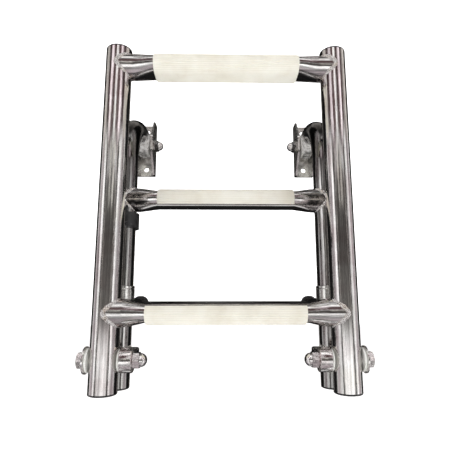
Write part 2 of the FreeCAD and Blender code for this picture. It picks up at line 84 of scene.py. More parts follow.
class Nodes:
    """Short way to wire the nodes of a material or a world."""

    def __init__(self, owner):
        owner.use_nodes = True
        self.owner = owner
        self.tree = owner.node_tree
        self.shader = self.tree.nodes.get("Principled BSDF")

    def new(self, kind, **settings):
        item = self.tree.nodes.new(kind)
        for key, setting in settings.items():
            setattr(item, key, setting)
        return item

    def link(self, start, end):
        self.tree.links.new(start, end)

    def stretched(self, stretch):
        """Object coordinates, in metres, scaled on each axis."""
        place = self.new("ShaderNodeTexCoord")
        mapping = self.new("ShaderNodeMapping")
        mapping.inputs["Scale"].default_value = stretch
        self.link(place.outputs["Object"], mapping.inputs["Vector"])
        return mapping.outputs["Vector"]

    def noise(self, vector, scale=1.0, detail=4.0, roughness=0.6):
        item = self.new("ShaderNodeTexNoise")
        item.inputs["Scale"].default_value = scale
        item.inputs["Detail"].default_value = detail
        item.inputs["Roughness"].default_value = roughness
        self.link(vector, item.inputs["Vector"])
        return item.outputs["Fac"]

    def ramp(self, factor, stops):
        item = self.new("ShaderNodeValToRGB")
        marks = item.color_ramp.elements
        while len(marks) < len(stops):
            marks.new(0.5)
        for mark, (spot, colour) in zip(marks, stops):
            mark.position = spot
            mark.color = (*colour, 1.0)
        self.link(factor, item.inputs["Fac"])
        return item.outputs["Color"]

    def spread(self, factor, low, high, start=0.3, end=0.7):
        item = self.new("ShaderNodeMapRange")
        for key, setting in (("From Min", start), ("From Max", end), ("To Min", low), ("To Max", high)):
            item.inputs[key].default_value = setting
        self.link(factor, item.inputs["Value"])
        return item.outputs["Result"]

    def mix(self, factor, first, second, blend="MIX"):
        item = self.new("ShaderNodeMix", data_type="RGBA", blend_type=blend)
        for socket, source in ((item.inputs[0], factor), (item.inputs[6], first),
                               (item.inputs[7], second)):
            if isinstance(source, (int, float)):
                socket.default_value = source
            elif isinstance(source, tuple):
                socket.default_value = (*source, 1.0)
            else:
                self.link(source, socket)
        return item.outputs[2]

    def maths(self, kind, first, second=0.0):
        item = self.new("ShaderNodeMath", operation=kind)
        for socket, source in zip(item.inputs, (first, second)):
            if isinstance(source, (int, float)):
                socket.default_value = source
            else:
                self.link(source, socket)
        return item.outputs[0]

    def split(self, vector):
        item = self.new("ShaderNodeSeparateXYZ")
        self.link(vector, item.inputs[0])
        return item.outputs

    def bump(self, height, strength, distance, after=None):
        item = self.new("ShaderNodeBump")
        item.inputs["Strength"].default_value = strength
        item.inputs["Distance"].default_value = distance
        self.link(height, item.inputs["Height"])
        if after is not None:
            self.link(after, item.inputs["Normal"])
        return item.outputs["Normal"]

    def hollows(self, flat, deepest):
        """0 on flat ground and 1 in the sharpest grooves."""
        shape = self.new("ShaderNodeNewGeometry")
        return self.spread(shape.outputs["Pointiness"], 0.0, 1.0, flat, deepest)


def surface(name):
    return Nodes(bpy.data.materials.new(name))


def polished(name, stretch, tones=(0.44, 0.66, 0.78, 0.92), hook=None):
    """Polished stainless tube. The polishing lines run along the axis that is stretched least.

    hook is (heights, places along Y), two pairs in metres. Between the heights the steel goes over to a
    painted dark reflection on the bend and arm, and between the places to the bright hammered metal of the
    arm's end, whose lower part carries a painted shade.
    """
    n = surface(name)
    streaks = n.noise(n.stretched(stretch), 1.0, 5.0, 0.65)
    clouds = n.noise(n.stretched((1, 1, 1)), 28.0, 3.0, 0.5)
    fine = n.noise(n.stretched(tuple(4 * s for s in stretch)), 1.0, 3.0, 0.7)
    tone = n.ramp(streaks, [(spot, (value, 0.975 * value, 0.96 * value))
                            for spot, value in zip((0.34, 0.46, 0.53, 0.64), tones)])
    stain = n.ramp(clouds, [(0.36, (0.80, 0.74, 0.74)), (0.50, (1.0, 1.0, 1.0)),
                            (0.66, (0.95, 0.94, 0.90))])
    colour = n.mix(0.75, tone, stain, "MULTIPLY")
    n.shader.inputs["Metallic"].default_value = 1.0
    if hook:
        heights, places = hook
        back, height = n.split(n.stretched((1, 1, 1)))[1:]
        # painted dark reflection: from the lower height up, the bend and arm go over to near black
        colour = n.mix(n.spread(height, 0.0, 0.74, *heights), colour, (0.10, 0.095, 0.09))
        beaten = n.noise(n.stretched((1, 1, 1)), 300.0, 4.0, 0.65)
        bright = n.ramp(beaten, [(0.38, (0.42, 0.40, 0.38)), (0.50, (0.86, 0.85, 0.83)),
                                 (0.62, (0.97, 0.96, 0.95))])
        # painted shade: the lower part of the hammered end goes over to near black
        painted_underside_shade = n.spread(height, 0.85, 0.0, -0.0152, -0.0128)
        bright = n.mix(painted_underside_shade, bright, (0.06, 0.055, 0.05))
        colour = n.mix(n.spread(back, 0.0, 1.0, *places), colour, bright)
        n.link(n.spread(back, 1.0, 0.45, *places), n.shader.inputs["Metallic"])
    n.link(colour, n.shader.inputs["Base Color"])
    rough = n.maths("ADD", n.spread(fine, 0.015, 0.055), n.spread(clouds, 0.01, 0.05))
    n.link(rough, n.shader.inputs["Roughness"])
    wave = n.bump(streaks, 0.14, 0.0006)
    n.link(n.bump(fine, 0.12, 0.00025, wave), n.shader.inputs["Normal"])
    return n.owner


def pressed(name):
    """Bright pressed plate: fine upright scratches, cloudy polish and brighter rubbed patches."""
    n = surface(name)
    plain = n.stretched((1, 1, 1))
    clouds = n.noise(plain, 90.0, 4.0, 0.6)
    scratch = n.noise(n.stretched((900, 900, 120)), 1.0, 3.0, 0.7)
    tone = n.ramp(clouds, [(0.34, (0.56, 0.54, 0.52)), (0.50, (0.76, 0.75, 0.72)),
                           (0.66, (0.90, 0.89, 0.86))])
    rubbed = n.spread(n.noise(plain, 240.0, 3.0, 0.6), 0.0, 0.6, 0.54, 0.72)
    n.link(n.mix(rubbed, tone, (0.92, 0.91, 0.89)), n.shader.inputs["Base Color"])
    n.shader.inputs["Metallic"].default_value = 1.0
    n.link(n.spread(scratch, 0.12, 0.27), n.shader.inputs["Roughness"])
    n.link(n.bump(clouds, 0.25, 0.0006, n.bump(scratch, 0.10, 0.0002)), n.shader.inputs["Normal"])
    return n.owner


def weld_metal(name):
    """Weld bead: silvery ripples with a little straw and brown heat tint between them."""
    n = surface(name)
    plain = n.stretched((1, 1, 1))
    grains = n.noise(plain, 700.0, 4.0, 0.65)
    tint = n.noise(plain, 160.0, 3.0, 0.5)
    tone = n.ramp(grains, [(0.34, (0.56, 0.53, 0.51)), (0.50, (0.84, 0.82, 0.80)),
                           (0.64, (0.96, 0.95, 0.93))])
    heat = n.ramp(tint, [(0.50, (1.0, 1.0, 1.0)), (0.62, (0.95, 0.86, 0.72)),
                         (0.74, (0.70, 0.50, 0.36))])
    n.link(n.mix(0.45, tone, heat, "MULTIPLY"), n.shader.inputs["Base Color"])
    n.shader.inputs["Metallic"].default_value = 1.0
    n.link(n.spread(grains, 0.16, 0.36), n.shader.inputs["Roughness"])
    n.link(n.bump(grains, 0.45, 0.0007), n.shader.inputs["Normal"])
    return n.owner


def tread_plastic(name):
    """Cream plastic, a little greyer in its grooves, with faint handling marks."""
    n = surface(name)
    plain = n.stretched((1, 1, 1))
    clouds = n.noise(plain, 35.0, 4.0, 0.6)
    marks = n.noise(n.stretched((60, 900, 900)), 1.0, 4.0, 0.7)
    grain = n.noise(plain, 2600.0, 3.0, 0.6)
    base = n.ramp(clouds, [(0.32, (0.74, 0.71, 0.61)), (0.52, (0.82, 0.80, 0.71)),
                           (0.70, (0.86, 0.85, 0.77))])
    scuffed = n.mix(n.spread(marks, 0.0, 0.35, 0.58, 0.80), base, (0.60, 0.57, 0.50))
    n.link(n.mix(n.hollows(0.50, 0.42), scuffed, (0.50, 0.48, 0.41)), n.shader.inputs["Base Color"])
    n.link(n.spread(marks, 0.42, 0.62), n.shader.inputs["Roughness"])
    n.shader.inputs["Subsurface Weight"].default_value = 0.08
    n.shader.inputs["Subsurface Radius"].default_value = (0.004, 0.003, 0.002)
    n.shader.inputs["Subsurface Scale"].default_value = 0.5
    n.link(n.bump(grain, 0.15, 0.0002), n.shader.inputs["Normal"])
    return n.owner


def moulded(name, dark, mid, light, rough, grain_scale, worn):
    """Moulded plastic or rubber: cloudy colour, grainy surface and paler rubbed patches."""
    n = surface(name)
    plain = n.stretched((1, 1, 1))
    clouds = n.noise(plain, 120.0, 4.0, 0.6)
    grain = n.noise(plain, grain_scale, 3.0, 0.6)
    base = n.ramp(clouds, [(0.34, dark), (0.50, mid), (0.68, light)])
    rubbed = n.spread(n.noise(plain, 420.0, 3.0, 0.6), 0.0, 0.8, 0.58, 0.74)
    n.link(n.mix(rubbed, base, worn), n.shader.inputs["Base Color"])
    n.link(n.spread(clouds, rough[0], rough[1]), n.shader.inputs["Roughness"])
    n.link(n.bump(grain, 0.30, 0.0003), n.shader.inputs["Normal"])
    return n.owner


STEEL_Z = polished("steel_polished_upright", (330, 330, 5))
STEEL_X = polished("steel_polished_across", (7, 300, 300))
STEEL_Y = polished("steel_polished_legs", (260, 12, 260), (0.30, 0.48, 0.62, 0.80))
# darker tones than steel_polished_upright: painted shade on the upper rails, which also carry the painted
# dark reflection on the bend
STEEL_HOOK_SHADED = polished("steel_polished_hooks_painted_shade", (330, 330, 5), (0.18, 0.31, 0.43, 0.66),
                      ((-0.078, -0.052), (-0.070, -0.056)))
# near-black tones on polished steel: painted shade on the cross rod
STEEL_ROD_SHADED = polished("steel_rod_painted_shade", (9, 300, 300), (0.02, 0.04, 0.07, 0.12))
STEEL_SMALL = polished("steel_fasteners", (260, 420, 420), (0.58, 0.76, 0.88, 0.97))
PRESSED = pressed("steel_pressed")
WELD = weld_metal("steel_weld")
CREAM = tread_plastic("tread_cream")
BLACK = moulded("plastic_black", (0.010, 0.010, 0.011), (0.018, 0.018, 0.019),
                (0.030, 0.029, 0.029), (0.28, 0.46), 1800.0, (0.07, 0.07, 0.07))
RUBBER = moulded("rubber_black", (0.012, 0.012, 0.012), (0.022, 0.021, 0.021),
                 (0.040, 0.038, 0.036), (0.45, 0.70), 1400.0, (0.08, 0.078, 0.075))
NYLON = moulded("nylon_milky", (0.72, 0.73, 0.68), (0.82, 0.83, 0.79), (0.90, 0.91, 0.88),
                (0.22, 0.40), 900.0, (0.93, 0.94, 0.91))


# ---------------------------------------------------------------- mesh helpers

def keep(bm, name, body, material, stands_for=(), sharp=35.0):
    """Turn a bmesh into a piece that rides on a body. Edges sharper than the angle stay crisp."""
    bmesh.ops.recalc_face_normals(bm, faces=bm.faces)
    for face in bm.faces:
        face.smooth = True
    for edge in bm.edges:
        if len(edge.link_faces) == 2 and edge.calc_face_angle() > math.radians(sharp):
            edge.smooth = False
    mesh = bpy.data.meshes.new(name)
    bm.to_mesh(mesh)
    bm.free()
    mesh.materials.append(material)
    piece = bpy.data.objects.new(name, mesh)
    bpy.context.scene.collection.objects.link(piece)
    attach(piece, body)
    if stands_for:
        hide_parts(*stands_for)
    return piece


def skin(bm, rings, closed_path=False, caps=True):
    """Join rings of points, all of one length, into a tube."""
    rows = [[bm.verts.new(spot) for spot in ring] for ring in rings]
    count = len(rows[0])
    last = len(rows) if closed_path else len(rows) - 1
    for r in range(last):
        one, two = rows[r], rows[(r + 1) % len(rows)]
        for i in range(count):
            j = (i + 1) % count
            bm.faces.new((one[i], one[j], two[j], two[i]))
    if caps and not closed_path:
        bm.faces.new(rows[0])
        bm.faces.new(rows[-1])
    return rows


def lathe(bm, profile, centre, axis, segments=96):
    """Turn a profile of (radius, place along the axis) pairs about an axis through centre."""
    side = Z if abs(axis.z) < 0.9 else X
    other = axis.cross(side)
    rings = []
    for radius, along in profile:
        ring = []
        for i in range(segments):
            turn = 2 * math.pi * i / segments
            ring.append(centre + axis * along
                        + (side * math.cos(turn) + other * math.sin(turn)) * max(radius, 1e-6))
        rings.append(ring)
    skin(bm, rings)


def rounded(radius, start, end, edge, steps=5):
    """Profile of a disc with rounded rims, from start to end along its axis."""
    profile = [(0.0, start)]
    for i in range(steps + 1):
        turn = math.pi / 2 * i / steps
        profile.append((radius - edge + edge * math.sin(turn), start + edge - edge * math.cos(turn)))
    for i in range(steps + 1):
        turn = math.pi / 2 * i / steps
        profile.append((radius - edge + edge * math.cos(turn), end - edge + edge * math.sin(turn)))
    profile.append((0.0, end))
    return profile


def oval(centre, across, up, width, height, power, count=72):
    """Ring between an ellipse (power 2) and a rounded box (higher powers)."""
    ring = []
    for i in range(count):
        turn = 2 * math.pi * i / count
        c, s = math.cos(turn), math.sin(turn)
        ring.append(centre
                    + across * (math.copysign(abs(c) ** (2 / power), c) * width / 2)
                    + up * (math.copysign(abs(s) ** (2 / power), s) * height / 2))
    return ring


def ease(t):
    t = min(max(t, 0.0), 1.0)
    return t * t * (3 - 2 * t)


def rounded_box(bm, low, high, edge):
    """Box with rounded edges, from its low corner to its high corner."""
    made = bmesh.ops.create_cube(bm, size=1.0)["verts"]
    for vert in made:
        vert.co = Vector([low[k] + (vert.co[k] + 0.5) * (high[k] - low[k]) for k in range(3)])
    edges = list({e for v in made for e in v.link_edges})
    bmesh.ops.bevel(bm, geom=edges, offset=edge, segments=3, affect="EDGES", profile=0.6)


def bead(bm, path, outward, radius, closed=True, pitch=1.7 * MM, seed=0.0):
    """Weld bead along a path, with ripples that overlap like a row of coins."""
    count = len(path)
    rings, run = [], 0.0
    for i, spot in enumerate(path):
        after = path[(i + 1) % count] if closed or i < count - 1 else spot
        before = path[i - 1] if closed or i > 0 else spot
        along = (after - before).normalized()
        out = (outward[i] - along * outward[i].dot(along)).normalized()
        wide = along.cross(out)
        phase = (run / pitch) % 1.0
        size = radius * (0.66 + 0.42 * math.sqrt(1.0 - phase)
                         + 0.20 * noise.noise(spot * 260 + Vector((seed, 0, 0))))
        ring = []
        for k in range(14):
            turn = 2 * math.pi * k / 14
            ring.append(spot + out * (size * 0.72 * math.sin(turn)) + wide * (size * math.cos(turn)))
        rings.append(ring)
        run += (after - spot).length
    skin(bm, rings, closed_path=closed, caps=not closed)


# ---------------------------------------------------------------- rails

MOUTH = 8 * MM                      # how far the bore goes in at a tube's end
BEND, NECK = 54 * MM, 16 * MM       # the hook's bend, and the length over which it is squashed
EYE_HEIGHT, EYE_WIDTH = 31 * MM, 17.5 * MM


def straight_rail(side_name):
    node = "lower_rail_" + side_name
    low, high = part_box(node)
    centre = Vector(((low.x + high.x) / 2, (low.y + high.y) / 2, 0))
    bm = bmesh.new()
    bore = TUBE - WALL
    profile = [(bore, low.z + MOUTH), (bore, low.z + RIM), (bore + RIM, low.z), (TUBE - RIM, low.z),
               (TUBE, low.z + RIM)]
    levels = 40
    for i in range(levels + 1):
        profile.append((TUBE, low.z + 2 * RIM + (high.z - low.z - 4 * RIM) * i / levels))
    profile += [(TUBE, high.z - RIM), (TUBE - RIM, high.z), (bore + RIM, high.z), (bore, high.z - RIM),
                (bore, high.z - MOUTH)]
    lathe(bm, profile, centre, Z, 128)
    keep(bm, node + "_tube", "lower_section", STEEL_Z, [node])


def hooked_rail(side_name):
    """Upper rail: up, round the bend, back to the squashed and hammered end on the pivot bolt."""
    side = SIDES[side_name]
    node = "upper_rail_" + side_name
    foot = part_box(node)[0].z
    x = side * HALF
    stations = []

    def station(y, z, up, wide=2 * TUBE, tall=2 * TUBE, power=2.0):
        stations.append((Vector((x, y, z)), up, wide, tall, power))

    for inset, lift in ((WALL, MOUTH), (WALL - RIM, RIM), (1.2 * MM, 0.0), (RIM, 0.0), (0.0, RIM)):
        station(UPPER_Y, foot + lift, Y, 2 * (TUBE - inset), 2 * (TUBE - inset))
    corner_z = PIVOT.z - BEND
    for i in range(1, 37):
        station(UPPER_Y, foot + RIM + (corner_z - foot - RIM) * i / 36, Y)
    for i in range(1, 41):
        turn = math.pi / 2 * i / 40
        station(UPPER_Y + BEND - BEND * math.cos(turn), corner_z + BEND * math.sin(turn),
                Y * math.cos(turn) - Z * math.sin(turn))
    neck_end = PIVOT.y - EYE_HEIGHT / 2
    for i in range(1, 31):
        t = i / 30
        station(neck_end - NECK + NECK * t, PIVOT.z, -Z, 2 * TUBE + (EYE_WIDTH - 2 * TUBE) * ease(t),
                2 * TUBE + (EYE_HEIGHT - 2 * TUBE) * ease(t), 2.0 + 1.3 * ease(t))
    for i in range(1, 13):
        station(neck_end + EYE_HEIGHT / 2 * i / 12, PIVOT.z, -Z, EYE_WIDTH, EYE_HEIGHT, 3.3)
    for i in range(1, 17):
        turn = math.pi / 2 * i / 16
        station(PIVOT.y + EYE_HEIGHT / 2 * math.sin(turn), PIVOT.z, -Z,
                EYE_WIDTH * (1 - 0.35 * (1 - math.cos(turn))),
                max(EYE_HEIGHT * math.cos(turn), 0.2 * MM), 3.3)
    bm = bmesh.new()
    rows = skin(bm, [oval(spot, X, up, wide, tall, power, 96) for spot, up, wide, tall, power in stations])
    for row, (spot, up, wide, tall, power) in zip(rows, stations):
        beaten = ease(power - 2.0) * 1.3 * MM
        if beaten <= 0:
            continue
        for vert in row:
            inward = spot - vert.co
            if inward.length > 1e-5:
                dent = max(noise.noise(vert.co * 190 + Vector((side * 3, 0, 0))), 0.0)
                vert.co += inward.normalized() * (beaten * dent * 2.3)
    keep(bm, node + "_tube", "upper_section", STEEL_HOOK_SHADED, [node])


def end_plugs(node, body, outward):
    """Black end plug in each tube: a thin flange with a rounded rim and a slightly crowned face."""
    low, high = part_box(node)
    face = low.z if outward < 0 else high.z
    seat = face - outward * 1.4 * MM
    edge = 1.1 * MM
    profile = [(0.0, face), (TUBE * 0.55, face - outward * 0.04 * MM)]
    for i in range(7):
        turn = math.pi / 2 * i / 6
        profile.append((TUBE - edge + edge * math.sin(turn), face - outward * edge * (1 - math.cos(turn))))
    profile += [(TUBE, seat), (TUBE - WALL, seat), (TUBE - WALL - 0.1 * MM, seat - outward * 11 * MM),
                (0.0, seat - outward * 12 * MM)]
    bm = bmesh.new()
    for side in SIDES.values():
        lathe(bm, profile, Vector((side * HALF, (low.y + high.y) / 2, 0)), Z, 72)
    keep(bm, node + "_caps", body, BLACK, [node])


# ---------------------------------------------------------------- steps and treads

FLAT_DEPTH, FLAT_HEIGHT = 29.5 * MM, 17.5 * MM
SHOULDER = HALF - TUBE - 3.5 * MM
FLAT_START = SHOULDER - 20 * MM
TREAD_SKIN = 1.6 * MM
TREAD_OPEN = FLAT_HEIGHT / 2 - 2.2 * MM         # from the step's middle to the tread's open edges
RIB_PITCH, GROOVE = 2.05 * MM, 0.42 * MM


def stadium(centre, depth, height, count=72):
    """Flattened round section in the YZ plane."""
    half, shift = height / 2, (depth - height) / 2
    ring = []
    for i in range(count):
        turn = 2 * math.pi * (i + 0.5) / count
        c, s = math.cos(turn), math.sin(turn)
        ring.append(centre + Y * (half * c + math.copysign(shift, c)) + Z * (half * s))
    return ring


def step(name, body):
    """Tube squashed flat between its round ends, which are cut to fit against the rails."""
    node = name + "_step"
    centre = middle(node)
    half = [(True, i / 8) for i in range(9)] + [(False, i / 24) for i in range(1, 25)]
    stations = [(-1, *spot) for spot in half] + [(1, *spot) for spot in reversed(half)]
    rings = []
    for side, coped, t in stations:
        squash = 0.0 if coped else 0.65 * t + 0.35 * ease(t)
        depth = 2 * TUBE + (FLAT_DEPTH - 2 * TUBE) * squash
        height = 2 * TUBE + (FLAT_HEIGHT - 2 * TUBE) * squash
        ring = stadium(Vector((0, centre.y, centre.z)), depth, height)
        for spot in ring:
            if coped:
                off_axis = min(abs(spot.y - centre.y), TUBE)
                meet = HALF - math.sqrt(max(TUBE ** 2 - off_axis ** 2, 0.0))
                spot.x = side * (meet + (SHOULDER - meet) * t)
            else:
                spot.x = side * (SHOULDER - (SHOULDER - FLAT_START) * t)
        rings.append(ring)
    bm = bmesh.new()
    skin(bm, rings, caps=False)
    keep(bm, node + "_tube", body, STEEL_X, [node])


def step_welds(name, body):
    """Bead where each end of a step meets its rail. Its two points reach the rail's centre line."""
    centre = middle(name + "_step")
    bm = bmesh.new()
    for side in (-1, 1):
        path, outward = [], []
        for i in range(220):
            turn = 2 * math.pi * i / 220
            c, s = math.cos(turn), math.sin(turn)
            drop = math.sqrt((TUBE * s) ** 2 + (2.2 * MM) ** 2) - 2.2 * MM
            spot = Vector((side * (HALF - drop - 0.2 * MM), centre.y + TUBE * c, centre.z + TUBE * s))
            rail_out = Vector((spot.x - side * HALF, spot.y - centre.y, 0)).normalized()
            tube_out = Vector((0, c, s))
            path.append(spot + (rail_out + tube_out).normalized() * 0.25 * MM)
            outward.append(rail_out + tube_out)
        bead(bm, path, outward, 2.2 * MM, seed=side * 7 + centre.z * 50)
    keep(bm, name + "_step_welds", body, WELD, sharp=60)


def tread_walk(depth, height, count):
    """Points round a tread's section from one open edge to the other, with outward directions and runs."""
    half, shift = height / 2, (depth - height) / 2
    start = math.asin(max(-1.0, -TREAD_OPEN / half))
    nose = half * (math.pi / 2 - start)
    total = 2 * nose + 2 * shift
    for i in range(count + 1):
        run = total * i / count
        if nose <= run < nose + 2 * shift:
            yield Vector((shift - (run - nose), half)), Vector((0, 1)), run
            continue
        front = run < nose
        side = 1 if front else -1
        turn = start + run / half if front else math.pi / 2 - (run - nose - 2 * shift) / half
        out = Vector((side * math.cos(turn), math.sin(turn)))
        yield out * half + Vector((side * shift, 0)), out, run


def tread(name, body, up):
    """C-shaped tread with ribs along its length. up is the side that it covers."""
    node = name + "_tread"
    low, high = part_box(node)
    centre = middle(name + "_step")

    def outline(shrink, ribbed):
        spots = []
        for spot, out, run in tread_walk(FLAT_DEPTH + 2 * TREAD_SKIN, FLAT_HEIGHT + 2 * TREAD_SKIN, 300):
            wave = abs(((run / RIB_PITCH) % 1.0) - 0.5) * 2
            groove = GROOVE * ease((wave - 0.55) / 0.30) if ribbed else GROOVE
            spots.append(spot - out * (groove + shrink))
        for spot, out, run in reversed(list(tread_walk(FLAT_DEPTH, FLAT_HEIGHT, 60))):
            spots.append(spot + out * 0.02 * MM)
        return spots

    rings = []
    for x, shrink, ribbed in ((low.x, 0.35 * MM, False), (low.x + 0.35 * MM, 0.0, False),
                              (low.x + 1.2 * MM, 0.0, True), (high.x - 1.2 * MM, 0.0, True),
                              (high.x - 0.35 * MM, 0.0, False), (high.x, 0.35 * MM, False)):
        rings.append([Vector((x, centre.y + spot.x, centre.z + up * spot.y))
                      for spot in outline(shrink, ribbed)])
    bm = bmesh.new()
    skin(bm, rings)
    keep(bm, node + "_ribbed", body, CREAM, [node], sharp=50)


# ---------------------------------------------------------------- fasteners

def hex_rings(centre, axis, flats, start, end, chamfers):
    """Rings of a hexagon whose ends are chamfered where chamfers says so (start, end)."""
    other = axis.cross(Z)
    ground = flats / 2 * 0.955      # radius of the round left on a chamfered end
    slope = math.tan(math.radians(30))
    first, bottom, top, last = [], [], [], []
    for i in range(72):
        turn = 2 * math.pi * i / 72
        wrap = (turn + math.pi / 6) % (math.pi / 3) - math.pi / 6
        reach = flats / 2 / math.cos(wrap)
        out = Z * math.cos(turn) + other * math.sin(turn)
        drop = (reach - ground) * slope
        first.append(centre + axis * start + out * (ground if chamfers[0] else reach))
        bottom.append(centre + axis * (start + (drop if chamfers[0] else 0.0)) + out * reach)
        top.append(centre + axis * (end - (drop if chamfers[1] else 0.0)) + out * reach)
        last.append(centre + axis * end + out * (ground if chamfers[1] else reach))
    return first, bottom, top, last


def bolts(node, body, at):
    """Hexagon bolts with chamfered heads and a shallow dish in the middle of each head."""
    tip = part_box(node)[1].x
    centre = Vector((0, at.y, at.z))
    bm = bmesh.new()
    for side in (-1, 1):
        axis = X * side
        head = hex_rings(centre, axis, HEX_FLATS, tip - 6 * MM, tip, (False, True))
        face = centre + axis * tip
        dish_rim = [face + (spot - face) * 0.78 for spot in head[-1]]
        dish = [face + (spot - face) * 0.72 - axis * 0.25 * MM for spot in head[-1]]
        skin(bm, [*head, dish_rim, dish])
        lathe(bm, rounded(BOLT, inner_end(node), tip - 5 * MM, 0.4 * MM), centre, axis, 48)
    keep(bm, node + "_detailed", body, STEEL_SMALL, [node], sharp=28)


def dome_nuts(node, body, at):
    """Acorn nuts that face the middle of the ladder."""
    tall, dome, dome_height = 6.5 * MM, 5.9 * MM, 5.5 * MM
    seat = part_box(node)[1].x
    bm = bmesh.new()
    for side in (-1, 1):
        axis = X * -side
        centre = Vector((side * seat, at.y, at.z))
        rings = list(hex_rings(centre, axis, HEX_FLATS, 0.0, tall, (True, True)))
        top = centre + axis * tall
        outward = [(spot - top).normalized() for spot in rings[-1]]
        for i in range(13):
            turn = math.pi / 2 * i / 12
            radius = max(dome * math.cos(turn), 0.05 * MM)
            along = 0.4 * MM + dome_height * math.sin(turn) if i else 0.0
            rings.append([top + axis * along + out * radius for out in outward])
        skin(bm, rings)
    keep(bm, node + "_detailed", body, STEEL_SMALL, [node], sharp=28)


def washer_pair(node, body, edge, material):
    low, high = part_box(node)
    profile = rounded((high.z - low.z) / 2, inner_end(node), high.x, edge)
    bm = bmesh.new()
    for side in (-1, 1):
        lathe(bm, profile, Vector((0, HINGE.y, HINGE.z)), X * side, 72)
    keep(bm, node + "_rounded", body, material, [node], sharp=50)


def hinge_boss(side_name):
    """Barrel, arm and shoe, with the welds that hold the shoe on the rail and the barrel on the arm."""
    side = SIDES[side_name]
    node = "hinge_boss_" + side_name
    seat = HALF - TUBE - 1.9 * MM
    centre = Vector((0, HINGE.y, HINGE.z))
    bm = bmesh.new()
    lathe(bm, rounded(10.9 * MM, seat - 11 * MM, seat, 0.8 * MM), centre, X * side, 96)

    def block(near, far, y0, y1, tall, soft):
        xs = sorted((side * near, side * far))
        rounded_box(bm, (xs[0], y0, HINGE.z - tall / 2), (xs[1], y1, HINGE.z + tall / 2), soft)

    arm = 7 * MM
    block(seat - arm, seat, HINGE.y + 2 * MM, UPPER_Y, 11 * MM, 2.0 * MM)
    block(seat - arm, seat + 5.7 * MM, UPPER_Y - 13.3 * MM, UPPER_Y, 12 * MM, 2.5 * MM)
    keep(bm, node + "_forged", "upper_section", STEEL_SMALL, [node], sharp=40)

    weld = bmesh.new()
    path, outward = [], []
    rail = Vector((side * HALF, UPPER_Y, 0))
    shoe = 6.2 * MM                 # half the height of the shoe's weld
    start, end = math.radians(4), math.radians(46)
    corners = [(start, -shoe), (end, -shoe), (end, shoe), (start, shoe)]
    for k in range(4):
        (a0, z0), (a1, z1) = corners[k], corners[(k + 1) % 4]
        for i in range(34):
            t = i / 34
            a, z = a0 + (a1 - a0) * t, z0 + (z1 - z0) * t
            out = Vector((-side * math.cos(a), -math.sin(a), 0))
            path.append(rail + out * TUBE + Z * (HINGE.z + z))
            outward.append(out + Z * (0.8 if z > 0 else -0.8))
    bead(weld, path, outward, 1.5 * MM, seed=side)
    path, outward = [], []
    for i in range(120):
        a = 2 * math.pi * i / 120
        path.append(Vector((side * (seat - arm / 2 + 3.3 * MM * math.cos(a)), HINGE.y + 10.4 * MM,
                            HINGE.z + 7.0 * MM * math.sin(a))))
        outward.append(Vector((side * math.cos(a) * 0.6, 0.5, math.sin(a))))
    bead(weld, path, outward, 1.1 * MM, seed=side * 3)
    keep(weld, "hinge_boss_welds_" + side_name, "upper_section", WELD, sharp=60)


# ---------------------------------------------------------------- stand-offs, clip and brackets

SLEEVE, SOCKET = 14.2 * MM, 8.0 * MM            # outer radii of the sleeve and of its socket
LEG = 6.35 * MM
FOOT, FOOT_LENGTH = 9.1 * MM, 16 * MM


def sleeve(node, side, level):
    """Sleeve round the upper rail with two pressed rings, and the socket that holds the leg."""
    low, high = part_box(node)
    lip, ring = 0.5 * MM, 0.35 * MM
    profile = [(TUBE - 0.2 * MM, low.z), (SLEEVE - lip, low.z), (SLEEVE, low.z + lip)]
    for z in (low.z + 3 * MM, high.z - 3 * MM):
        profile += [(SLEEVE, z - 0.5 * MM), (SLEEVE - ring, z), (SLEEVE, z + 0.5 * MM)]
    profile += [(SLEEVE, high.z - lip), (SLEEVE - lip, high.z), (TUBE - 0.2 * MM, high.z)]
    bm = bmesh.new()
    lathe(bm, profile, Vector((side * HALF, UPPER_Y, 0)), Z, 96)
    end = high.y - UPPER_Y
    lathe(bm, [(SOCKET, 10 * MM), (SOCKET, end - 0.6 * MM), (SOCKET - 0.6 * MM, end),
               (LEG + 0.05 * MM, end)], Vector((side * HALF, UPPER_Y, level)), Y, 72)
    keep(bm, node + "_pressed", "upper_section", PRESSED, [node], sharp=30)


def sleeve_weld(side_name, level):
    """Bead between the sleeve and its socket."""
    side = SIDES[side_name]
    spot = Vector((side * HALF, UPPER_Y, level))
    reach = SOCKET + 0.2 * MM
    path, outward = [], []
    for i in range(130):
        a = 2 * math.pi * i / 130
        dx, dz = reach * math.cos(a), reach * math.sin(a)
        path.append(spot + Vector((dx, math.sqrt(SLEEVE ** 2 - dx ** 2), dz)))
        outward.append(Vector((math.cos(a), 1.0, math.sin(a))))
    bm = bmesh.new()
    bead(bm, path, outward, 1.2 * MM, seed=side * 5)
    keep(bm, "standoff_welds_" + side_name, "upper_section", WELD, sharp=60)


